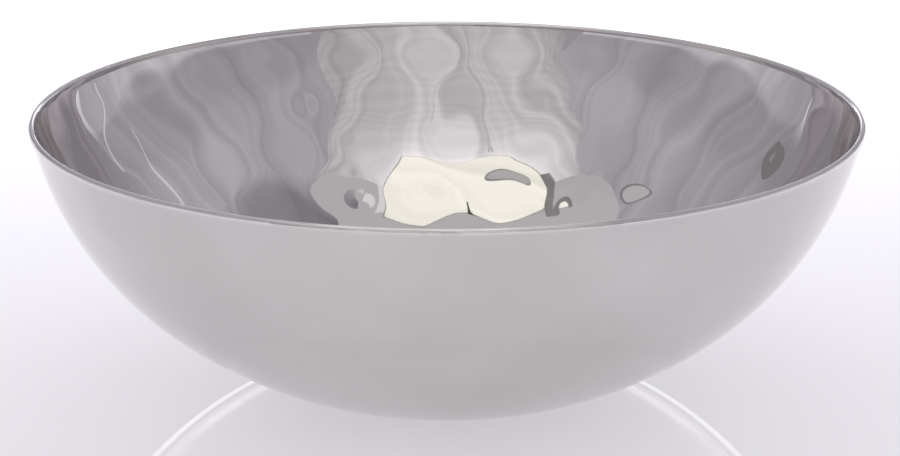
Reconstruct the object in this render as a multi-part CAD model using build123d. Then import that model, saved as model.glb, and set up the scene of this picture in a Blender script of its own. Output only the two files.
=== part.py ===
from build123d import *
from math import atan2, cos, degrees, inf, pi, radians, sin, sqrt, tan
import os

# Double-walled offering bowl: a hammered liner whose edge is rolled over the edge of a smooth shell.
# Millimetres, +Z up, origin on the table under the middle of the bowl.
# Every outline is drawn as (radius, height) points and turned once round the Z axis.

# Overall shape, measured outside
rim_diameter = 300.0
height = 102.0
foot_diameter = 86.5
rim_lean = 11.5             # degrees that the shell's wall leans out at the rim
foot_rise = 12.5            # degrees that the shell's wall climbs where it leaves the foot

# Sheet metal
shell_thickness = 0.7
liner_thickness = 0.7
foot_bend = 8.0             # inside bend between foot and wall
recess_bend = 0.3           # inside bends of the step round the raised centre

# Rolled lip
hem_clearance = 0.1         # between the sheets inside the lip, and round the seal
hem_depth = 0.65            # straight part of the lip outside the shell's edge

# Liner
liner_floor_diameter = 70.0
liner_floor_rise = 14.0     # degrees that the liner's wall climbs where it leaves its floor
liner_lean = 14.0           # degrees that the liner's wall leans out at the rim
liner_bend = 20.0           # inside bend between the liner's floor and wall
floor_gap = 6.0             # air between the shell's raised centre and the liner's floor

# Hammer marks on the liner's inside
mark_pitch = 29.0           # from mark to mark along a row
row_pitch = 24.0            # from row to row along the wall
first_row = 15.0            # from the lip's straight part to the first row
row_turn = 137.5            # degrees that each row is turned from the one above
facet_length = 17.0         # of a facet flattened into the hollow wall, measured down the wall
pad_share = 0.7             # of a facet's length: the radius of the pad that carries it
dent_depth = 0.3            # of the marks on the flat floor
ball_radius = 60.0          # of the hammer's face, which leaves them

# Underside of the shell
recess_diameter = 72.0
recess_depth = 2.0

# Vent plug
vent_diameter = 5.0
plug_clearance = 0.05
plug_head_diameter = 9.0
plug_head_thickness = 1.0
plug_collar_diameter = 6.4
plug_collar_thickness = 1.0
plug_tip_diameter = 4.0
plug_tip_length = 1.2

# Radii and levels that follow from these
roll_radius = shell_thickness / 2 + hem_clearance
lip_radius = roll_radius + liner_thickness
lip_middle = rim_diameter / 2 - lip_radius
edge_level = height - lip_radius
cut_level = edge_level - hem_depth
shell_edge = lip_middle + shell_thickness / 2
liner_edge = lip_middle - lip_radius
raised_floor = recess_depth + shell_thickness
liner_floor = raised_floor + floor_gap + liner_thickness
liner_foot = Vector(liner_floor_diameter / 2, liner_floor)
liner_rim = Vector(liner_edge, cut_level)
pad_radius = facet_length * pad_share


def wall_arcs(foot, rise, rim, lean):
    """Lower and upper arc of a bowl's wall, as (centre, radius), and the point where they meet.

    rise is the slope in degrees at the foot and lean the lean from upright at the rim. The arcs
    meet tangentially, where tangents of equal length from the two ends are joined.
    """
    leave = Vector(cos(radians(rise)), sin(radians(rise)))
    arrive = Vector(sin(radians(lean)), cos(radians(lean)))
    chord = rim - foot
    turn = 1 - leave.dot(arrive)
    reach = chord.dot(leave + arrive)
    tangent = (sqrt(reach ** 2 + 2 * turn * chord.dot(chord)) - reach) / (2 * turn)
    meet = (foot + leave * tangent + rim - arrive * tangent) * 0.5
    arcs = []
    for end, along in ((foot, leave), (rim, arrive)):
        inward = Vector(-along.Y, along.X)
        span = meet - end
        radius = span.dot(span) / (2 * inward.dot(span))
        arcs.append((end + inward * radius, radius))
    return arcs[0], arcs[1], meet


def offset_arc(arc, outward):
    """The same arc moved outward, with its centre kept."""
    centre, radius = arc
    return centre, radius + outward


def offset_point(arc, point, outward):
    """A point of an arc moved outward, away from the arc's centre."""
    return point + (point - arc[0]).normalized() * outward


def height_on(arc, out):
    """Height at which the lower half of an arc passes a radius from the bowl's axis."""
    centre, radius = arc
    return centre.Y - sqrt(radius ** 2 - (out - centre.X) ** 2)


def radius_on(arc, level):
    """Radius from the bowl's axis at which the outer half of an arc passes a height."""
    centre, radius = arc
    return centre.X + sqrt(radius ** 2 - (level - centre.Y) ** 2)


def arc_between(arc, start, end):
    """The short stretch of an arc between two of its points."""
    centre, radius = arc
    middle = centre + ((start + end) * 0.5 - centre).normalized() * radius
    return ThreePointArc(start, middle, end)


def chain(*points):
    """Straight edges from each point to the next."""
    return [Line(first, second) for first, second in zip(points, points[1:])]


def round_corners(face, corners):
    """Round the outline's corners, given as (point, radius) pairs."""
    for point, radius in corners:
        corner = face.vertices().sort_by_distance(point)[0]
        face = face.fillet_2d(radius, [corner])
    return face


def turned(face):
    """Turn an outline once round the bowl's axis."""
    return revolve(Plane.XZ * face, Axis.Z)


def make_outer_shell():
    foot = Vector(foot_diameter / 2, 0)
    rim = Vector(shell_edge, cut_level)
    lower, upper, meet = wall_arcs(foot, foot_rise, rim, rim_lean)
    lower_inside = offset_arc(lower, -shell_thickness)
    upper_inside = offset_arc(upper, -shell_thickness)
    edge_outside = Vector(shell_edge, edge_level)
    edge_inside = Vector(shell_edge - shell_thickness, edge_level)
    rim_inside = Vector(edge_inside.X, height_on(upper_inside, edge_inside.X))
    meet_inside = offset_point(lower, meet, -shell_thickness)
    foot_inside = Vector(radius_on(lower_inside, shell_thickness), shell_thickness)
    step_low = Vector(recess_diameter / 2, 0)
    step_high = Vector(step_low.X, recess_depth)
    step_low_inside = Vector(step_low.X + shell_thickness, shell_thickness)
    step_high_inside = Vector(step_low_inside.X, raised_floor)
    vent_low = Vector(vent_diameter / 2, recess_depth)
    vent_high = Vector(vent_low.X, raised_floor)
    outline = [
        arc_between(lower, foot, meet),
        arc_between(upper, meet, rim),
        *chain(rim, edge_outside, edge_inside, rim_inside),
        arc_between(upper_inside, rim_inside, meet_inside),
        arc_between(lower_inside, meet_inside, foot_inside),
        *chain(foot_inside, step_low_inside, step_high_inside, vent_high),
        *chain(vent_high, vent_low, step_high, step_low, foot),
    ]
    corners = [
        (foot, foot_bend + shell_thickness),
        (foot_inside, foot_bend),
        (step_low, recess_bend + shell_thickness),
        (step_low_inside, recess_bend),
        (step_high, recess_bend),
        (step_high_inside, recess_bend + shell_thickness),
    ]
    return turned(round_corners(make_face(outline).face(), corners))


def along_liner(distance):
    """Point on the liner's inside that far down from its lip, with the wall's lean and radius there."""
    lower, upper, meet = wall_arcs(liner_foot, liner_floor_rise, liner_rim, liner_lean)
    span = meet - upper[0]
    meet_lean = degrees(atan2(-span.Y, span.X))
    floor_lean = 90 - liner_floor_rise
    upper_length = radians(meet_lean - liner_lean) * upper[1]
    lower_length = radians(floor_lean - meet_lean) * lower[1]
    below = distance - upper_length
    if below < 0:
        arc = upper
        lean = liner_lean + degrees(distance / upper[1])
    elif below < lower_length:
        arc = lower
        lean = meet_lean + degrees(below / lower[1])
    else:
        return liner_foot - Vector(below - lower_length, 0), 90.0, inf
    return arc[0] + Vector(arc[1], 0).rotate(Axis.Z, -lean), lean, arc[1]


def rise_at(radius, out):
    """Height that a hollow of that radius has gained, that far out from its lowest point."""
    return radius - sqrt(radius ** 2 - out ** 2)


def make_facet_pad(wall_radius):
    """Pad under a flattened facet: flat on top, its round underside and its edge inside the sheet."""
    bottom = Vector(0, -liner_thickness / 2)
    top = rise_at(wall_radius, facet_length / 2)
    edge = Vector(pad_radius, (top + rise_at(wall_radius, pad_radius) - liner_thickness) / 2)
    step = edge.Y - bottom.Y
    under_radius = (pad_radius ** 2 + step ** 2) / (2 * step)
    middle = bottom + Vector(pad_radius / 2, rise_at(under_radius, pad_radius / 2))
    section = [
        ThreePointArc(bottom, middle, edge),
        *chain(edge, Vector(pad_radius, top), Vector(0, top), bottom),
    ]
    return turned(make_face(section).face())


def make_floor_dent():
    """Cap of the hammer's ball, sunk in the floor."""
    low = Vector(0, -dent_depth)
    middle = low + Vector(pad_radius / 2, rise_at(ball_radius, pad_radius / 2))
    edge = low + Vector(pad_radius, rise_at(ball_radius, pad_radius))
    section = [ThreePointArc(low, middle, edge), *chain(edge, Vector(0, edge.Y), low)]
    return turned(make_face(section).face())


def make_hammer_marks():
    """Facet pads for the wall and dents for the floor, in turned rows from the lip to the middle."""
    bend_start = liner_bend * tan(radians(liner_floor_rise / 2))
    pads = []
    dents = []
    row = 0
    point, lean, wall_radius = along_liner(first_row)
    while point.X > mark_pitch / 2:
        count = int(2 * pi * point.X / mark_pitch)
        seat = Pos(point.X, 0, point.Y) * Rot(0, lean - 90, 0)
        turns = [Rot(0, 0, row * row_turn + mark * 360 / count) for mark in range(count)]
        from_floor = point.X - liner_foot.X
        if from_floor > bend_start + pad_radius:
            pad = make_facet_pad(wall_radius)
            pads += [turn * seat * pad for turn in turns]
        elif from_floor < -bend_start:
            dent = make_floor_dent()
            dents += [turn * seat * dent for turn in turns]
        row += 1
        point, lean, wall_radius = along_liner(first_row + row * row_pitch)
    return pads, dents


def make_hammered_liner():
    lower, upper, meet = wall_arcs(liner_foot, liner_floor_rise, liner_rim, liner_lean)
    lower_outside = offset_arc(lower, liner_thickness)
    upper_outside = offset_arc(upper, liner_thickness)
    underside = liner_floor - liner_thickness
    foot_outside = Vector(radius_on(lower_outside, underside), underside)
    meet_outside = offset_point(lower, meet, liner_thickness)
    land = lip_middle - roll_radius
    rim_outside = Vector(land, height_on(upper_outside, land))
    lip_centre = Vector(lip_middle, edge_level)
    lip = (lip_centre, lip_radius)
    roll = (lip_centre, roll_radius)
    lip_start = lip_centre - Vector(lip_radius, 0)
    lip_top = lip_centre + Vector(0, lip_radius)
    lip_end = lip_centre + Vector(lip_radius, 0)
    roll_start = lip_centre - Vector(roll_radius, 0)
    roll_top = lip_centre + Vector(0, roll_radius)
    roll_end = lip_centre + Vector(roll_radius, 0)
    cut_outside = Vector(lip_end.X, cut_level)
    cut_inside = Vector(roll_end.X, cut_level)
    outline = [
        arc_between(lower, liner_foot, meet),
        arc_between(upper, meet, liner_rim),
        *chain(liner_rim, lip_start),
        arc_between(lip, lip_start, lip_top),
        arc_between(lip, lip_top, lip_end),
        *chain(lip_end, cut_outside, cut_inside, roll_end),
        arc_between(roll, roll_end, roll_top),
        arc_between(roll, roll_top, roll_start),
        *chain(roll_start, rim_outside),
        arc_between(upper_outside, rim_outside, meet_outside),
        arc_between(lower_outside, meet_outside, foot_outside),
        *chain(foot_outside, Vector(0, underside), Vector(0, liner_floor), liner_foot),
    ]
    corners = [
        (liner_foot, liner_bend),
        (foot_outside, liner_bend + liner_thickness),
    ]
    pads, dents = make_hammer_marks()
    return turned(round_corners(make_face(outline).face(), corners)) + pads - dents


def make_rim_seal():
    # Half a hexagon, which sits on the shell's edge and follows the inside of the roll
    middle = Vector(lip_middle, edge_level)
    reach = Vector(roll_radius - hem_clearance, 0)
    corners = [middle + reach.rotate(Axis.Z, angle) for angle in (0, 60, 120, 180)]
    return turned(make_face(chain(*corners, corners[0])).face())


def make_vent_plug():
    collar_top = raised_floor + plug_collar_thickness
    outline = chain(
        Vector(0, recess_depth - plug_head_thickness),
        Vector(plug_head_diameter / 2, recess_depth - plug_head_thickness),
        Vector(plug_head_diameter / 2, recess_depth),
        Vector(vent_diameter / 2 - plug_clearance, recess_depth),
        Vector(vent_diameter / 2 - plug_clearance, raised_floor),
        Vector(plug_collar_diameter / 2, raised_floor),
        Vector(plug_collar_diameter / 2, collar_top),
        Vector(plug_tip_diameter / 2, collar_top + plug_tip_length),
        Vector(0, collar_top + plug_tip_length),
        Vector(0, recess_depth - plug_head_thickness),
    )
    return turned(make_face(outline).face())


pieces = {
    "outer_shell": make_outer_shell(),
    "hammered_liner": make_hammered_liner(),
    "rim_seal": make_rim_seal(),
    "vent_plug": make_vent_plug(),
}

os.makedirs("parts", exist_ok=True)
for name, piece in pieces.items():
    export_step(piece, f"parts/{name}.step")
    print(name, f"{piece.volume:.0f} mm3")
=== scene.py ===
import bpy
import numpy as np
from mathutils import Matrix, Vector


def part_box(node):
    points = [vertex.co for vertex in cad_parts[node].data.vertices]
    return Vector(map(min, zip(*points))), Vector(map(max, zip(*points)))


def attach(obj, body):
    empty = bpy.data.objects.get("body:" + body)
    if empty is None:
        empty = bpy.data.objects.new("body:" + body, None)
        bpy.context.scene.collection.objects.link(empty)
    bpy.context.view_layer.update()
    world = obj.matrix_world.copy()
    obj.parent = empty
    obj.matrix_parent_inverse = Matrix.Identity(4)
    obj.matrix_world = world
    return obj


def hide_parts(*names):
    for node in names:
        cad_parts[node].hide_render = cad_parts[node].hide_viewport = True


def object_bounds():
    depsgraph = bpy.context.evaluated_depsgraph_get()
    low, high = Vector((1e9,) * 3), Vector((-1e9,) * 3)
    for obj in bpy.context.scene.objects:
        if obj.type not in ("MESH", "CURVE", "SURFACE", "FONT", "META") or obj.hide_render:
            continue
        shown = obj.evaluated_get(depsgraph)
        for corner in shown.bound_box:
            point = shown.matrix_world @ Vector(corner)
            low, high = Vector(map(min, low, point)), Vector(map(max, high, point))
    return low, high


# Double-walled offering bowl: hammered mirror liner rolled over the edge of a smooth spun shell.
# Shapes are worked out in millimetres as (radius, height) sections and turned round the Z axis.

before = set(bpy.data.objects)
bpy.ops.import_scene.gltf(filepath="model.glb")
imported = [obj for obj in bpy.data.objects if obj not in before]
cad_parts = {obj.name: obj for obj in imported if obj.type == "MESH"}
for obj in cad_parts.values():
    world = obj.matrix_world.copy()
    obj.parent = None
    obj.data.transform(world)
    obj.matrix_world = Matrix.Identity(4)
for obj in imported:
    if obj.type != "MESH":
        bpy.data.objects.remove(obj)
cadLow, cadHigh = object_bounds()
mm = 0.001
print("frame loaded:", sorted(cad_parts))


def hexToLinear(code):
    # sRGB to linear: straight line near black, power of 2.4 above it
    srgb = np.array([int(code[at:at + 2], 16) for at in (1, 3, 5)]) / 255
    linear = np.where(srgb <= 0.04045, srgb / 12.92, ((srgb + 0.055) / 1.055) ** 2.4)
    return (*linear.tolist(), 1.0)


def addNode(tree, kind, inputs=None, **settings):
    # inputs: socket name or number -> a value, or the output of another node
    node = tree.nodes.new(kind)
    for key, value in settings.items():
        setattr(node, key, value)
    for key, value in (inputs or {}).items():
        if isinstance(value, bpy.types.NodeSocket):
            tree.links.new(value, node.inputs[key])
        else:
            node.inputs[key].default_value = value
    return node


def newMaterial(name):
    material = bpy.data.materials.new(name)
    material.use_nodes = True
    material.node_tree.nodes.clear()
    return material, material.node_tree


def runLength(section):
    # distance from the section's first point, along it
    steps = np.linalg.norm(np.diff(section, axis=0), axis=1)
    return np.concatenate([[0], np.cumsum(steps)])


def evenSteps(section, count):
    # the same line with count points at equal distances along it
    run = runLength(section)
    at = np.linspace(0, run[-1], count)
    return np.stack([np.interp(at, run, section[:, 0]), np.interp(at, run, section[:, 1])], -1)


def arcLine(centre, radius, start, end, count):
    # points of a circle between the directions of two points seen from its centre, the short way round
    first = np.arctan2(start[1] - centre[1], start[0] - centre[0])
    last = np.arctan2(end[1] - centre[1], end[0] - centre[0])
    sweep = (last - first + np.pi) % (2 * np.pi) - np.pi
    turn = np.linspace(first, first + sweep, count)
    return centre + radius * np.stack([np.cos(turn), np.sin(turn)], -1)


def overTop(centre, radius, count):
    # half circle from the right, over the top, to the left
    turn = np.linspace(0, np.pi, count)
    return centre + radius * np.stack([np.cos(turn), np.sin(turn)], -1)


def anglesRound(columns):
    # equal turns round the Z axis, the last one short of the first
    return np.linspace(0, 2 * np.pi, columns, endpoint=False)


def carryRound(section, columns):
    # every section point carried round the Z axis: (r cos a, r sin a, z)
    angle = anglesRound(columns)
    radius, level = section[:, 0, None], section[:, 1, None]
    return np.stack([radius * np.cos(angle), radius * np.sin(angle), level + 0 * angle], -1)


def turnedPiece(name, section, points, material, loop, creaseAngle=35):
    # points[row, column] is the section carried round the axis, in millimetres. The columns close on
    # themselves. With loop the rows close too; without it the first and last row are single poles.
    rows, columns = points.shape[:2]
    run = runLength(section)
    if loop:
        vertices = points.reshape(-1, 3)
        lengths = np.repeat(run, columns)
        index = np.arange(rows * columns).reshape(rows, columns)
        index = np.vstack([index, index[:1]])
        caps = []
    else:
        body = points[1:-1]
        vertices = np.vstack([points[:1, 0], body.reshape(-1, 3), points[-1:, 0]])
        lengths = np.concatenate([run[:1], np.repeat(run[1:-1], columns), run[-1:]])
        index = 1 + np.arange(body.shape[0] * columns).reshape(-1, columns)
        following = np.roll(np.arange(columns), -1)
        first = np.zeros(columns, int)
        last = np.full(columns, len(vertices) - 1)
        caps = np.stack([first, index[0][following], index[0]], -1).tolist()
        caps += np.stack([last, index[-1], index[-1][following]], -1).tolist()
    beside = np.roll(index, -1, axis=1)
    quads = np.stack([index[:-1], beside[:-1], beside[1:], index[1:]], -1).reshape(-1, 4)
    mesh = bpy.data.meshes.new(name)
    mesh.from_pydata((vertices * mm).tolist(), [], quads.tolist() + caps)
    mesh.polygons.foreach_set("use_smooth", np.ones(len(mesh.polygons), bool))
    mesh.set_sharp_from_angle(angle=np.radians(creaseAngle))
    along = mesh.attributes.new("along", "FLOAT", "POINT")  # millimetres along the section
    along.data.foreach_set("value", lengths.astype(np.float32))
    mesh.materials.append(material)
    piece = bpy.data.objects.new(name, mesh)
    bpy.context.scene.collection.objects.link(piece)
    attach(piece, "root")
    return piece


def wallArcs(foot, rise, rim, lean):
    # lower and upper arc of a wall: they meet tangentially where equal tangents from both ends join
    leave = np.array([np.cos(rise), np.sin(rise)])
    arrive = np.array([np.sin(lean), np.cos(lean)])
    chord = rim - foot
    turn = 1 - leave @ arrive
    reach = chord @ (leave + arrive)
    tangent = (np.sqrt(reach ** 2 + 2 * turn * (chord @ chord)) - reach) / (2 * turn)
    meet = (foot + leave * tangent + rim - arrive * tangent) / 2
    arcs = []
    for end, run in ((foot, leave), (rim, arrive)):
        inward = np.array([-run[1], run[0]])
        span = meet - end
        radius = span @ span / (2 * (inward @ span))
        arcs.append((end + inward * radius, radius))
    return arcs[0], arcs[1], meet


def sheetLine(wall, offset, level, bend, topRadius, bendCount=50, arcCount=200):
    # one face of the sheet, from its flat at that level: bend, lower arc, upper arc up to topRadius
    (lowCentre, lowRadius), (highCentre, highRadius), meet = wall
    lowRadius, highRadius = lowRadius + offset, highRadius + offset
    rise = level + bend
    out = lowCentre[0] + np.sqrt((lowRadius - bend) ** 2 - (rise - lowCentre[1]) ** 2)
    bendCentre = np.array([out, rise])
    away = (bendCentre - lowCentre) / np.linalg.norm(bendCentre - lowCentre)
    bendEnd = lowCentre + lowRadius * away
    outward = topRadius - highCentre[0]
    top = highCentre + [outward, -np.sqrt(highRadius ** 2 - outward ** 2)]
    return np.vstack([
        arcLine(bendCentre, bend, bendCentre - [0, bend], bendEnd, bendCount),
        arcLine(lowCentre, lowRadius, bendEnd, meet, arcCount)[1:],
        arcLine(highCentre, highRadius, meet, top, arcCount)[1:],
    ])


# Sheet sizes shared by liner, shell and seal
sheet = {"thickness": 0.7, "clearance": 0.1, "hemDepth": 0.65}
rimRadius = min(-cadLow.x, cadHigh.x, -cadLow.y, cadHigh.y) / mm
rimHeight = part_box("hammered_liner")[1].z / mm
rollRadius = sheet["thickness"] / 2 + sheet["clearance"]
lipRadius = rollRadius + sheet["thickness"]
lipMiddle = np.array([rimRadius - lipRadius, rimHeight - lipRadius])
cutLevel = lipMiddle[1] - sheet["hemDepth"]
up, down, left, right = np.array([[0, 1], [0, -1], [-1, 0], [1, 0]])


liner = {
    "floorRadius": 35.0, "floorLevel": 9.4, "floorRise": 14.0, "lean": 14.0, "bend": 20.0,
    "columns": 600, "insideRows": 120, "outsideRows": 12, "rollSteps": 9, "lipSteps": 17,
    "colour": "#d7d4d2", "hazeSize": 45.0, "roughness": (0.02, 0.05),
    # rows of hammer facets: distance down from the lip, angle of the first, how many, radius
    "rows": ((8, 92.6, 27, 17), (29, 87.7, 26, 15), (49, 89.3, 23, 15), (74, 95.3, 20, 17),
             (100, 62, 15, 16), (125, 35, 10, 16), (150, 80, 6, 16), (172, 10, 3, 14)),
    "rise": 0.44, "riseRadius": 16.0,  # a facet of that radius rises so far, larger ones more
    "seed": 7, "jitter": 1.2, "sizeSpread": (0.94, 1.06), "riseSpread": (0.85, 1.15),
    "lipFade": 12.0, "sideEase": 0.5,  # they fade out at the lip and are shallower at the two sides
    "floorRun": 145.0, "floorSink": -0.6,  # from here on they are sunk
    # dents beside the facets: angle, distance down, radius, rise
    "dents": ((109.4, 46.7, 5, 0.07), (93.2, 44.2, 5, 0.06), (94.9, 74.9, 6, 0.05),
              (110.2, 76.4, 7, -0.26), (60.2, 77.0, 8, -0.32), (20.7, 33.3, 6, 0.12),
              (115.4, 30.1, 6, 0.15), (57.0, 9.6, 6, 0.06)),
    # stray dents: how many, and the range of their share of the way down, radius and rise
    "strayDents": 40, "strayReach": (0.03, 0.75), "strayRadius": (3.5, 6.0), "strayRise": (0.018, 0.06),
}


# Mirror-polished stainless sheet, planished by hand: clean reflections, a breath of haze in patches
def hammeredMirrorSteel(shape):
    smooth, hazy = shape["roughness"]
    material, tree = newMaterial("mirror polished hammered stainless steel")
    place = addNode(tree, "ShaderNodeTexCoord").outputs["Object"]
    haze = addNode(tree, "ShaderNodeTexNoise", {
        "Vector": place, "Scale": 1 / (shape["hazeSize"] * mm), "Detail": 3.0})
    rough = addNode(tree, "ShaderNodeMapRange", {
        "Value": haze.outputs["Fac"], "From Min": 0.35, "From Max": 0.7, "To Min": smooth, "To Max": hazy})
    steel = addNode(tree, "ShaderNodeBsdfPrincipled", {
        "Base Color": hexToLinear(shape["colour"]), "Metallic": 1.0, "Roughness": rough.outputs["Result"]})
    addNode(tree, "ShaderNodeOutputMaterial", {"Surface": steel.outputs["BSDF"]})
    return material


def hammerFacets(shape, wallLine):
    # (angle, distance from the lip, radius, rise) of every facet and dent
    draw = np.random.default_rng(shape["seed"])
    run = runLength(wallLine)
    blows = []
    for below, start, count, size in shape["rows"]:
        radius = np.interp(below, run, wallLine[:, 0])
        angle = np.radians(start) + 2 * np.pi * np.arange(count) / count
        angle = angle + draw.uniform(-1, 1, count) * shape["jitter"] / radius
        level = below + draw.uniform(-1, 1, count) * shape["jitter"]
        sizes = size * draw.uniform(*shape["sizeSpread"], count)
        rise = shape["rise"] * (sizes / shape["riseRadius"]) ** 2
        rise = rise * draw.uniform(*shape["riseSpread"], count)
        rise = rise * (1 - shape["sideEase"] * np.abs(np.cos(angle)))
        if below > shape["floorRun"]:
            rise = shape["floorSink"] * rise
        blows.append(np.stack([angle, level, sizes, rise], -1))
    count = shape["strayDents"]
    stray = np.stack([
        draw.uniform(0, 360, count),
        run[-1] * draw.uniform(*shape["strayReach"], count),
        draw.uniform(*shape["strayRadius"], count),
        draw.uniform(*shape["strayRise"], count),
    ], -1)
    dents = np.vstack([shape["dents"], stray])
    dents[:, 0] = np.radians(dents[:, 0])
    return np.vstack([*blows, dents])


def buildLiner(shape):
    # section: up the outside of the wall, round the roll, back over the lip, down the inside
    foot = np.array([shape["floorRadius"], shape["floorLevel"]])
    rim = np.array([lipMiddle[0] - lipRadius, cutLevel])
    wall = wallArcs(foot, np.radians(shape["floorRise"]), rim, np.radians(shape["lean"]))
    inside = sheetLine(wall, 0, shape["floorLevel"], shape["bend"], rim[0])
    inside = np.vstack([[0, shape["floorLevel"]], inside])[::-1]
    inside = evenSteps(inside, shape["insideRows"])
    thick = sheet["thickness"]
    under = shape["floorLevel"] - thick
    outside = sheetLine(wall, thick, under, shape["bend"] + thick, lipMiddle[0] - rollRadius)
    outside = evenSteps(np.vstack([[0, under], outside]), shape["outsideRows"])
    hem = sheet["hemDepth"] * down
    roll = overTop(lipMiddle, rollRadius, shape["rollSteps"])[::-1]
    lip = overTop(lipMiddle, lipRadius, shape["lipSteps"])
    section = np.vstack([outside, roll, roll[-1] + hem, lip[0] + hem, lip, inside])
    points = carryRound(section, shape["columns"])

    # a blow flattens the wall's hollow: it lifts the inside along the normal,
    # by rise times (1 - (distance / radius) squared) squared
    blows = hammerFacets(shape, inside)
    angle = anglesRound(shape["columns"])
    run = runLength(inside)[:, None]
    radius = inside[:, 0, None]
    lift = np.zeros((len(inside), shape["columns"]))
    for blowAngle, blowDown, size, rise in blows:
        turn = (angle - blowAngle + np.pi) % (2 * np.pi) - np.pi
        apart = (radius * turn) ** 2 + (run - blowDown) ** 2
        lift += rise * np.clip(1 - apart / size ** 2, 0, None) ** 2
    fade = np.clip(run / shape["lipFade"], 0, 1)
    lift *= fade * fade * (3 - 2 * fade)  # the wall stays straight at the lip
    step = np.gradient(inside, axis=0)
    normal = np.stack([step[:, 1], -step[:, 0]], -1) / np.linalg.norm(step, axis=1)[:, None]
    points[-len(inside):] += carryRound(normal, shape["columns"]) * lift[..., None]
    piece = turnedPiece("hammeredLiner", section, points, hammeredMirrorSteel(shape), loop=False)
    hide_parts("hammered_liner")
    print("liner:", len(blows), "hammer blows,", len(piece.data.polygons), "faces")


buildLiner(liner)


shell = {
    "footRadius": 43.25, "footRise": 12.5, "lean": 11.5, "footBend": 8.0,
    "recessRadius": 36.0, "recessDepth": 2.0, "recessBend": 0.3, "ventRadius": 2.5,
    "columns": 480, "outsideRows": 90, "insideRows": 30, "tightSteps": 5, "wideSteps": 7,
    "colours": ("#dad7d5", "#d3d0ce"), "hazeSize": 60.0, "lineSize": 0.8, "roughness": (0.05, 0.11),
}


# Spun stainless sheet, polished: near mirror, with faint lines round the axis and hand-buffed haze
def spunPolishedSteel(shape):
    smooth, hazy = shape["roughness"]
    bright, dull = shape["colours"]
    material, tree = newMaterial("polished spun stainless steel")
    place = addNode(tree, "ShaderNodeTexCoord").outputs["Object"]
    along = addNode(tree, "ShaderNodeAttribute", attribute_name="along").outputs["Fac"]
    lines = addNode(tree, "ShaderNodeTexNoise", {
        "W": along, "Scale": 1 / shape["lineSize"], "Detail": 2.0}, noise_dimensions="1D")
    haze = addNode(tree, "ShaderNodeTexNoise", {
        "Vector": place, "Scale": 1 / (shape["hazeSize"] * mm), "Detail": 3.0})
    both = addNode(tree, "ShaderNodeMath", {
        0: lines.outputs["Fac"], 1: haze.outputs["Fac"]}, operation="MULTIPLY")
    rough = addNode(tree, "ShaderNodeMapRange", {
        "Value": both.outputs["Value"], "From Min": 0.12, "From Max": 0.4,
        "To Min": smooth, "To Max": hazy})
    clouds = addNode(tree, "ShaderNodeMapRange", {
        "Value": haze.outputs["Fac"], "From Min": 0.35, "From Max": 0.65})
    tone = addNode(tree, "ShaderNodeMix", {  # 6, 7 and output 2 are its colour sockets
        "Factor": clouds.outputs["Result"], 6: hexToLinear(bright), 7: hexToLinear(dull)}, data_type="RGBA")
    steel = addNode(tree, "ShaderNodeBsdfPrincipled", {
        "Base Color": tone.outputs[2], "Metallic": 1.0, "Roughness": rough.outputs["Result"]})
    addNode(tree, "ShaderNodeOutputMaterial", {"Surface": steel.outputs["BSDF"]})
    return material


def buildShell(shape):
    # section: vent, raised centre, foot ring, up the outside to the cut edge, and back inside
    thick = sheet["thickness"]
    edge = np.array([lipMiddle[0] + thick / 2, cutLevel])
    foot = np.array([shape["footRadius"], 0])
    wall = wallArcs(foot, np.radians(shape["footRise"]), edge, np.radians(shape["lean"]))
    outside = sheetLine(wall, 0, 0, shape["footBend"] + thick, edge[0])
    inside = sheetLine(wall, -thick, thick, shape["footBend"], edge[0] - thick)[::-1]
    step, depth = shape["recessRadius"], shape["recessDepth"]
    small, large = shape["recessBend"], shape["recessBend"] + thick
    tight, wide = shape["tightSteps"], shape["wideSteps"]
    lowBend, highBend = np.array([step + large, large]), np.array([step - small, depth - small])
    section = np.vstack([
        [[shape["ventRadius"], depth + thick], [shape["ventRadius"], depth]],
        arcLine(highBend, small, highBend + up, highBend + right, tight),
        arcLine(lowBend, large, lowBend + left, lowBend + down, wide),
        evenSteps(outside, shape["outsideRows"]),
        [[edge[0], lipMiddle[1]], [edge[0] - thick, lipMiddle[1]]],
        evenSteps(inside, shape["insideRows"]),
        arcLine(lowBend, small, lowBend + down, lowBend + left, tight),
        arcLine(highBend, large, highBend + right, highBend + up, wide),
    ])
    points = carryRound(section, shape["columns"])
    piece = turnedPiece("outerShell", section, points, spunPolishedSteel(shape), loop=True)
    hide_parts("outer_shell")
    print("shell:", len(piece.data.polygons), "faces")


buildShell(shell)


def grainyPolymer(name, shape):
    # one pattern of pits or grain, both in the roughness and in a slight bump
    smooth, dry = shape["roughness"]
    material, tree = newMaterial(name)
    place = addNode(tree, "ShaderNodeTexCoord").outputs["Object"]
    grain = addNode(tree, "ShaderNodeTexNoise", {
        "Vector": place, "Scale": 1 / (shape["grainSize"] * mm), "Detail": 2.0}).outputs["Fac"]
    rough = addNode(tree, "ShaderNodeMapRange", {"Value": grain, "To Min": smooth, "To Max": dry})
    bump = addNode(tree, "ShaderNodeBump", {
        "Height": grain, "Strength": shape["bump"], "Distance": shape["grainDepth"] * mm})
    polymer = addNode(tree, "ShaderNodeBsdfPrincipled", {
        "Base Color": hexToLinear(shape["colour"]), "Roughness": rough.outputs["Result"],
        "Normal": bump.outputs["Normal"]})
    addNode(tree, "ShaderNodeOutputMaterial", {"Surface": polymer.outputs["BSDF"]})
    return material


# Cured silicone: cloudy grey, a soft sheen with pits from trapped air
seal = {
    "columns": 240, "steps": 9,
    "colour": "#c4c2bd", "roughness": (0.35, 0.6), "grainSize": 2.0, "grainDepth": 0.1, "bump": 0.2,
}


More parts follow.
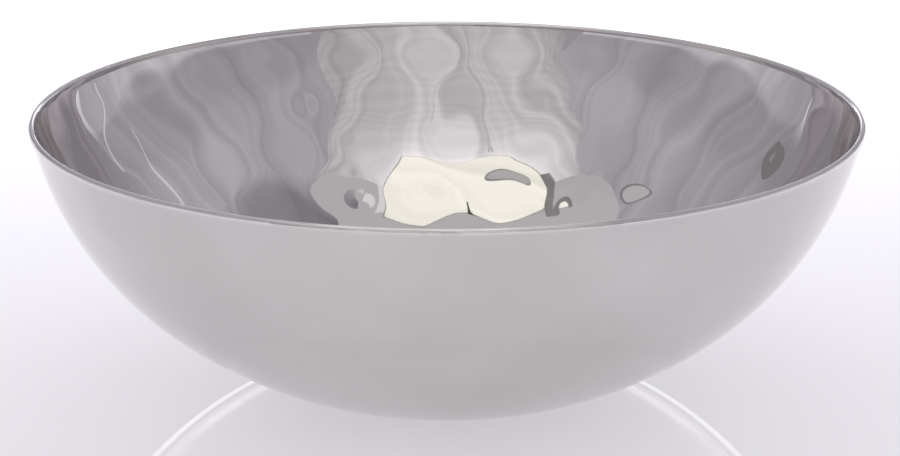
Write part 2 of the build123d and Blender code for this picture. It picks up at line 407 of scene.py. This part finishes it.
def buildSeal(shape):
    # half-round bead on the shell's edge, inside the roll
    bead = overTop(lipMiddle, rollRadius - sheet["clearance"], shape["steps"])
    points = carryRound(bead, shape["columns"])
    silicone = grainyPolymer("cured silicone sealant", shape)
    piece = turnedPiece("rimSeal", bead, points, silicone, loop=True)
    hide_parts("rim_seal")
    print("seal:", len(piece.data.polygons), "faces")


buildSeal(seal)


# Moulded natural rubber: dark, dry, with the fine grain of the mould
plug = {
    "headRadius": 4.5, "headThickness": 1.0, "headRound": 0.35, "roundSteps": 6, "neckRadius": 2.45,
    "collarRadius": 3.2, "collarThickness": 1.0, "tipRadius": 2.0, "tipLength": 1.2, "columns": 64,
    "colour": "#2b2a29", "roughness": (0.55, 0.8), "grainSize": 0.4, "grainDepth": 0.05, "bump": 0.3,
}


def buildPlug(shape):
    # head under the raised centre, neck through the vent, collar and tip above the sheet
    low = shell["recessDepth"]
    high = low + sheet["thickness"]
    headLow = low - shape["headThickness"]
    corner = np.array([shape["headRadius"] - shape["headRound"], headLow + shape["headRound"]])
    collarTop = high + shape["collarThickness"]
    tipTop = collarTop + shape["tipLength"]
    section = np.vstack([
        [[0, headLow]],
        arcLine(corner, shape["headRound"], corner + down, corner + right, shape["roundSteps"]),
        [[shape["headRadius"], low], [shape["neckRadius"], low], [shape["neckRadius"], high]],
        [[shape["collarRadius"], high], [shape["collarRadius"], collarTop]],
        [[shape["tipRadius"], tipTop], [0, tipTop]],
    ])
    points = carryRound(section, shape["columns"])
    rubber = grainyPolymer("moulded rubber", shape)
    piece = turnedPiece("ventPlug", section, points, rubber, loop=False)
    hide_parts("vent_plug")
    print("plug:", len(piece.data.polygons), "faces")


buildPlug(plug)


# Light tent round the bowl: sheets that glow, seen only in the metal and the floor. Metres.
tent = {
    "half": 0.9, "front": -0.9, "back": 1.0, "roof": 1.0, "curve": 0.4,
    "white": "#fefbff", "grey": "#f8f3ff", "warm": "#fffef5", "cool": "#f6f4ff",
    "window": (-0.25, 0.145, -0.08, 0.36),  # box in the roof: low x, high x, near y, far y
    "roofSteps": 17, "roundSteps": 33,
}


def glowGrid(name, points, glow, material):
    # points[row, column] joined up as quads; glow, one number or one for each point, is for the shader
    rows, columns = points.shape[:2]
    index = np.arange(rows * columns).reshape(rows, columns)
    quads = np.stack([index[:-1, :-1], index[:-1, 1:], index[1:, 1:], index[1:, :-1]], -1).reshape(-1, 4)
    mesh = bpy.data.meshes.new(name)
    mesh.from_pydata(points.reshape(-1, 3).tolist(), [], quads.tolist())
    levels = mesh.attributes.new("glow", "FLOAT", "POINT")
    levels.data.foreach_set("value", (np.zeros((rows, columns)) + glow).ravel().astype(np.float32))
    mesh.materials.append(material)
    grid = bpy.data.objects.new(name, mesh)
    bpy.context.scene.collection.objects.link(grid)
    return grid


def glowingSheet(name, points, colour, glow, folds=(0, 0, 0), foldDepth=0.0):
    # a sheet that shines by itself; folds are waves per metre in x, y, z
    material, tree = newMaterial("glowing " + name)
    level = addNode(tree, "ShaderNodeAttribute", attribute_name="glow").outputs["Fac"]
    if foldDepth:
        place = addNode(tree, "ShaderNodeTexCoord").outputs["Object"]
        across = addNode(tree, "ShaderNodeVectorMath", {0: place, 1: folds}, operation="DOT_PRODUCT")
        fold = addNode(tree, "ShaderNodeTexNoise", {
            "W": across.outputs["Value"], "Scale": 1.0, "Detail": 3.0}, noise_dimensions="1D")
        shade = addNode(tree, "ShaderNodeMapRange", {
            "Value": fold.outputs["Fac"], "From Min": 0.3, "From Max": 0.7,
            "To Min": 1 - foldDepth, "To Max": 1 + foldDepth}).outputs["Result"]
        level = addNode(tree, "ShaderNodeMath", {0: level, 1: shade}, operation="MULTIPLY").outputs["Value"]
    light = addNode(tree, "ShaderNodeEmission", {"Color": hexToLinear(colour), "Strength": level})
    addNode(tree, "ShaderNodeOutputMaterial", {"Surface": light.outputs["Emission"]})
    panel = glowGrid(name, points, glow, material)
    panel.visible_camera = False


def cornerLine(wall, roof, end, count=72, bendCount=16):
    # up a wall from the table, round the tent's corner, along the roof to end
    side = np.sign(wall)
    curve = tent["curve"]
    middle = np.array([wall - side * curve, roof - curve])
    corner = arcLine(middle, curve, middle + [side, 0], middle + up, bendCount)
    return evenSteps(np.vstack([[wall, 0], corner, [end, roof]]), count)


def acrossLine(x, line):
    # x[row, column] carried along (y, z) points, one for each row
    return np.stack([x, 0 * x + line[:, :1], 0 * x + line[:, 1:]], -1)


frontSheet = {
    "end": 0.2, "rows": 144, "columns": 97, "folds": (9, 0.7, 0.7), "foldDepth": 0.2,
    # spread to each side, as a share of the distance from this (y, z), at these angles from the table
    "middle": (0.1, 0.08), "angles": (19, 35, 55, 80, 95),
    "leftSpread": (0.735, 0.684, 0.593, 0.45, 0.352), "rightSpread": (0.67, 0.70, 0.66, 0.57, 0.44),
    # glow at the table and at the far end, how much is lost at the edges, what the window adds close by
    "glow": (0.68, 0.82), "edgeLoss": 0.3, "spill": 0.42, "spillReach": 0.12,
    "ripple": 0.022, "rippleLength": 0.09,
    # slits for the lens: x at the table and at the window, share of the way that they run
    "slits": ((-0.02, 0.03, 0.72), (-0.07, -0.14, 1), (-0.082, -0.152, 1)),
    "slitGlow": 0.4, "slitStop": 0.03,  # they stop so far from the window
    "hems": (0.955, 0.985), "hemGlow": 0.5,  # shares of the way to the edges
    "lineWidth": 0.004, "lineGap": 0.01,
}


def buildFront(shape):
    # front and roof in one bright sheet, cut narrower towards the window, brighter close to it
    front, roof = tent["front"], tent["roof"]
    low, high, near, far = tent["window"]
    line = cornerLine(front, roof, shape["end"], shape["rows"])
    arm = line - shape["middle"]
    angle = np.degrees(np.arctan2(arm[:, 1], -arm[:, 0]))
    reach = np.linalg.norm(arm, axis=1)
    leftEdge = reach * np.interp(angle, shape["angles"], shape["leftSpread"])
    rightEdge = -reach * np.interp(angle, shape["angles"], shape["rightSpread"])
    run = np.linspace(0, 1, shape["rows"])
    across = np.linspace(0, 1, shape["columns"])
    points = acrossLine(rightEdge[:, None] + (leftEdge - rightEdge)[:, None] * across, line)
    nearest = np.clip(points, (low, near, roof), (high, far, roof))
    apart = np.linalg.norm(points - nearest, axis=-1)
    start, end = shape["glow"]
    glow = start + (end - start) * run[:, None]
    glow = glow * (1 - shape["edgeLoss"] * (2 * across - 1) ** 2)
    glow = glow + shape["spill"] * np.exp(-apart / shape["spillReach"])
    glow = glow + shape["ripple"] * np.sin(2 * np.pi * apart / shape["rippleLength"])
    glowingSheet("frontSheet", points, tent["white"], glow, shape["folds"], shape["foldDepth"])

    # dark lines just inside it: slits for the lens in the middle, hems along the edges
    gap = shape["lineGap"]
    inner = cornerLine(front + gap, roof - gap, shape["end"], shape["rows"])
    width = shape["lineWidth"] * np.array([0, 1])
    before = inner[:, 0] < near - shape["slitStop"]
    for number, (start, end, share) in enumerate(shape["slits"]):
        keep = before & (run <= share)
        x = start + (end - start) * run / run[before][-1]
        points = acrossLine(x[keep][:, None] + width, inner[keep])
        glowingSheet("slit%d" % number, points, tent["white"], shape["slitGlow"])
    for number, share in enumerate(shape["hems"]):
        for name, edge in (("leftHem%d", leftEdge), ("rightHem%d", rightEdge)):
            points = acrossLine((edge * share)[:, None] + width, inner)
            glowingSheet(name % number, points, tent["white"], shape["hemGlow"])


sideSheets = {
    "end": 0.0, "columns": 61, "pastFront": 0.05, "pastBack": 0.2, "aboveRoof": 0.02,
    "folds": (7, 5, 0.7), "foldDepth": 0.15,
    "leftGlow": (0.54, 0.57), "rightGlow": (0.62, 0.49), "cornerGlow": 0.46,  # at the front and the back
    # share of that glow at these heights, and the most that it can be at these y
    "levels": (0.3, 0.36, 0.65, 0.85), "shares": (1.25, 0.82, 0.86, 1.0),
    "mostAt": (0.45, 0.6), "most": (2.0, 1.0),
    # seams on the left: y at the low and the high end, and the shares of the way up where they lie
    "seams": ((0.74, 0.99, 0.15, 0.44), (0.63, 0.95, 0.36, 0.75)), "seamEnd": 0.4,
    "seamWidth": 0.01, "seamGap": 0.01, "seamGlow": 1.0,
}


def buildSides(shape):
    # greyer sides that curve over to the roof above the bright sheet, bright low down towards the front
    half, front, back = tent["half"], tent["front"], tent["back"]
    nearEnd, farEnd = front - shape["pastFront"], back + shape["pastBack"]
    top = tent["roof"] + shape["aboveRoof"]
    deep = np.linspace(nearEnd, farEnd, shape["columns"])
    for name, side in (("left", 1), ("right", -1)):
        line = cornerLine(side * half, top, shape["end"])
        x = line[:, :1] + 0 * deep
        points = np.stack([x, 0 * x + deep, 0 * x + line[:, 1:]], -1)
        share = np.interp(line[:, 1:], shape["levels"], shape["shares"])
        share = np.minimum(share, np.interp(deep, shape["mostAt"], shape["most"]))
        glow = np.interp(deep, (front, back), shape[name + "Glow"]) * share
        folds = (side * shape["folds"][0], *shape["folds"][1:])
        glowingSheet(name + "Sheet", points, tent["grey"], glow, folds, shape["foldDepth"])
    x, z = np.meshgrid((-half, half), (0, top))
    corners = np.stack([x, 0 * x + nearEnd, z], -1)
    glowingSheet("frontCorners", corners, tent["grey"], shape["cornerGlow"])

    # bright seams that lean back up the left side
    line = cornerLine(half - shape["seamGap"], top - shape["seamGap"], shape["seamEnd"])
    width = shape["seamWidth"] * np.array([0, 1])
    for number, (start, end, low, high) in enumerate(shape["seams"]):
        part = line[int(low * len(line)):int(high * len(line))]
        y = np.linspace(start, end, len(part))[:, None] + width
        points = np.stack([part[:, :1] + 0 * y, y, part[:, 1:] + 0 * y], -1)
        glowingSheet("seam%d" % number, points, tent["white"], shape["seamGlow"])


roofPanels = {
    # level panels: name, box (low x, high x, near y, far y), drop, glow, folds and their depth
    "panels": (("greyRoof", (-0.43, 0.32, 0.2, 1.2), -0.01, 0.62, (2, 2, 0), 0.04),
               ("whiteStrip", (0.152, 0.2, 0.19, 0.33), 0.005, 0.95, (0, 0, 0), 0.0),
               ("darkStrip", (-0.295, -0.255, 0.1, 0.40), 0.005, 0.3, (9, 2, 0), 0.3)),
    "windowDrop": 0.02, "windowGlow": 1.26, "windowFolds": (7, 7, 0), "windowFoldDepth": 0.1,
    "rim": 0.006, "rimDrop": 0.015, "rimGlow": 0.2,  # the window's frame
    # dark gap on the left: its near corner is cut off from this y on, by at most so much
    "gap": (0.25, 0.62, 0.2, 0.9), "gapDrop": -0.005, "gapCut": 0.36, "gapCutMost": 0.06,
    "gapGlow": 0.54, "gapFolds": (9, 4, 0), "gapFoldDepth": 0.12,
    # what it loses of its glow at these x, and the share of that at these y
    "gapX": (0.25, 0.32, 0.45, 0.62), "gapLoss": (0.3, 0.25, 0.2, 0.0),
    "gapY": (0.2, 0.28, 0.42, 0.75, 0.9), "gapShare": (0.0, 0.3, 1.0, 0.8, 0.0),
    # round things under the roof: middle x and y, half width, half length, glow inside and at the edge
    "fixtures": ((-0.15, 0.145, 0.02, 0.05, 0.6, 0.2), (-0.51, 0.47, 0.08, 0.12, 0.62, 0.3)),
    "rings": (0, 0.82, 0.86, 1), "hang": 0.03,
    # clip: x at the near and the far end, width, near y, far y
    "clip": (-0.073, -0.045, 0.008, 0.25, 0.37), "clipSteps": 9, "clipGlow": 0.02,
}


def roofSheet(box, drop):
    # a level rectangle that far below the roof, from (low x, high x, near y, far y)
    steps = tent["roofSteps"]
    x, y = np.meshgrid(np.linspace(*box[:2], steps), np.linspace(*box[2:], steps))
    return np.stack([x, y, 0 * x + tent["roof"] - drop], -1)


def buildRoof(shape):
    # roof behind the window, strips beside it, the window with its frame and what hangs in it
    for name, box, drop, glow, folds, foldDepth in shape["panels"]:
        glowingSheet(name, roofSheet(box, drop), tent["white"], glow, folds, foldDepth)
    gap = roofSheet(shape["gap"], shape["gapDrop"])
    cut = np.clip(shape["gapCut"] - gap[..., 1], 0, shape["gapCutMost"])
    gap[..., 0] += cut * np.linspace(1, 0, tent["roofSteps"])
    loss = np.interp(gap[..., 0], shape["gapX"], shape["gapLoss"])
    loss = loss * np.interp(gap[..., 1], shape["gapY"], shape["gapShare"])
    glowingSheet("darkGap", gap, tent["grey"], shape["gapGlow"] - loss,
                 shape["gapFolds"], shape["gapFoldDepth"])

    window = roofSheet(tent["window"], shape["windowDrop"])
    glowingSheet("window", window, tent["warm"], shape["windowGlow"],
                 shape["windowFolds"], shape["windowFoldDepth"])
    low, high, near, far = tent["window"]
    rim = shape["rim"]
    rimBox = (low - rim, high + rim, near - rim / 2, far + rim)
    glowingSheet("windowFrame", roofSheet(rimBox, shape["rimDrop"]), tent["white"], shape["rimGlow"])

    level = tent["roof"] - shape["hang"]
    turn, out = np.meshgrid(np.linspace(0, 2 * np.pi, tent["roundSteps"]), shape["rings"])
    for number, (middleX, middleY, wide, long, inner, outer) in enumerate(shape["fixtures"]):
        x = middleX + wide * out * np.cos(turn)
        y = middleY + long * out * np.sin(turn)
        glow = np.array((inner, inner, outer, outer))[:, None]
        glowingSheet("fixture%d" % number, np.stack([x, y, 0 * x + level], -1), tent["white"], glow)
    start, end, wide, clipNear, clipFar = shape["clip"]
    run, across = np.meshgrid(np.linspace(0, 1, shape["clipSteps"]), (0, wide), indexing="ij")
    x = start + (end - start) * run + across
    y = clipNear + (clipFar - clipNear) * run
    glowingSheet("clip", np.stack([x, y, 0 * x + level], -1), tent["white"], shape["clipGlow"])


backWall = {
    # x to both sides of the middle, what the wall is like there, and its glow at these heights
    "places": (0.12, 0.14, 0.5, 0.58, 0.80, 0.85, 0.9),
    "kinds": ("middle", "beside", "beside", "end", "end", "edge", "edge"),
    "levels": (0.0, 0.06, 0.08, 0.16, 0.18, 0.22, 0.24, 0.40, 0.42, 1.02),
    "middle": (0.5, 0.5, 0.5, 0.5, 0.5, 0.55, 2.0, 2.0, 0.6, 0.8),
    "beside": (0.5, 0.5, 2.6, 2.6, 0.5, 0.52, 0.52, 0.55, 0.55, 0.7),
    "end": (0.4, 0.4, 1.0, 1.0, 0.4, 0.35, 0.35, 0.37, 0.37, 0.6),
    "edge": (0.4, 0.4, 1.0, 1.0, 0.9, 0.85, 0.8, 0.4, 0.37, 0.6),
    "shade": (-0.80, 0.90, 0.49), "shadeRadius": 0.08, "shadeGlow": 0.25,
}


def buildBack(shape):
    # a bright panel behind the bowl, dull beside it, dark ends over a bright gap at the table
    places = np.array(shape["places"])
    x, z = np.meshgrid(np.concatenate([-places[::-1], places]), shape["levels"])
    glow = np.array([shape[kind] for kind in shape["kinds"][::-1] + shape["kinds"]]).T
    glowingSheet("backWall", np.stack([x, 0 * x + tent["back"], z], -1), tent["cool"], glow)

    # a dark round shade in the right corner, turned to the bowl
    middle = np.array(shape["shade"])
    level = np.array([-middle[1], middle[0], 0]) / np.hypot(*middle[:2])
    upright = np.array([0, 0, 1])
    turn, out = np.meshgrid(np.linspace(0, 2 * np.pi, tent["roundSteps"]), (0, shape["shadeRadius"]))
    points = middle + (out * np.cos(turn))[..., None] * level + (out * np.sin(turn))[..., None] * upright
    glowingSheet("shade", points, tent["white"], shape["shadeGlow"])


buildFront(frontSheet)
buildSides(sideSheets)
buildRoof(roofPanels)
buildBack(backWall)
print("tent: done")


floorSheet = {
    "half": 6.0, "near": 0.8, "steps": 65,  # fine steps near the bowl only
    "white": "#fcfaff", "base": "#9a999c", "roughness": 0.03, "ior": 1.5,
    # glow from front to back: how far behind the bowl's axis, and how strong; less of it close to the foot,
    # a painted shadow of the bowl
    "places": (-0.25, -0.1, 0.0, 0.05, 0.2, 0.62), "glow": (0.56, 0.578, 0.615, 0.64, 0.72, 0.98),
    "paintedShadow": 0.18, "paintedShadowReach": 0.1,
}


def buildFloor(shape):
    # gloss acrylic lit from below: its glow shows to the camera and in the metal, and lights nothing; round
    # the foot it is dimmed as a painted shadow of the bowl
    material, tree = newMaterial("white gloss acrylic")
    path = addNode(tree, "ShaderNodeLightPath")
    seen = addNode(tree, "ShaderNodeMath", {
        0: path.outputs["Is Camera Ray"], 1: path.outputs["Is Glossy Ray"]}, operation="MAXIMUM")
    seen = addNode(tree, "ShaderNodeMath", {
        0: seen.outputs["Value"], 1: path.outputs["Is Transmission Ray"]}, operation="MAXIMUM")
    level = addNode(tree, "ShaderNodeAttribute", attribute_name="glow").outputs["Fac"]
    glow = addNode(tree, "ShaderNodeMath", {0: seen.outputs["Value"], 1: level}, operation="MULTIPLY")
    acrylic = addNode(tree, "ShaderNodeBsdfPrincipled", {
        "Base Color": hexToLinear(shape["base"]), "Roughness": shape["roughness"], "IOR": shape["ior"],
        "Emission Color": hexToLinear(shape["white"]), "Emission Strength": glow.outputs["Value"]})
    addNode(tree, "ShaderNodeOutputMaterial", {"Surface": acrylic.outputs["BSDF"]})
    half, near = shape["half"], shape["near"]
    line = np.concatenate([[-half], np.linspace(-near, near, shape["steps"]), [half]])
    x, y = np.meshgrid(line, line)
    strength = np.interp(y, shape["places"], shape["glow"])
    # painted shadow: the glow is dimmed round the bowl's foot
    strength = strength - shape["paintedShadow"] * np.exp(-(x ** 2 + y ** 2) / shape["paintedShadowReach"] ** 2)
    floor = glowGrid("floor", np.stack([x, y, 0 * x], -1), strength, material)
    print("floor:", len(floor.data.polygons), "faces")


buildFloor(floorSheet)

studio = {
    "worldGlow": 0.8, "bounces": 24,  # light runs round the inside of the rim many times
    "distance": 0.930, "elevation": 16.93, "aimHeight": 0.057,  # of the camera
    "lens": 101.3, "sensor": 36, "shiftX": 0.0033, "clipStart": 0.01,
}


def buildWorld(shape):
    world = bpy.data.worlds.new("pale studio")
    world.use_nodes = True
    tree = world.node_tree
    tree.nodes.clear()
    glow = addNode(tree, "ShaderNodeBackground", {"Color": (1, 1, 1, 1), "Strength": shape["worldGlow"]})
    addNode(tree, "ShaderNodeOutputWorld", {"Surface": glow.outputs["Background"]})
    bpy.context.scene.world = world


def buildCamera(shape):
    lens = bpy.data.cameras.new("camera")
    lens.lens = shape["lens"]
    lens.sensor_width = shape["sensor"]
    lens.shift_x = shape["shiftX"]
    lens.clip_start = shape["clipStart"]
    camera = bpy.data.objects.new("camera", lens)
    tilt = np.radians(shape["elevation"])
    behind = Vector((0, -np.cos(tilt), np.sin(tilt)))
    camera.location = Vector((0, 0, shape["aimHeight"])) + behind * shape["distance"]
    camera.rotation_mode = "QUATERNION"
    camera.rotation_quaternion = (-behind).to_track_quat("-Z", "Y")
    bpy.context.scene.collection.objects.link(camera)
    bpy.context.scene.camera = camera


buildWorld(studio)
buildCamera(studio)
bpy.context.scene.view_settings.view_transform = "Standard"
bpy.context.scene.cycles.max_bounces = studio["bounces"]
bpy.context.scene.cycles.glossy_bounces = studio["bounces"]
print("camera and world: done")
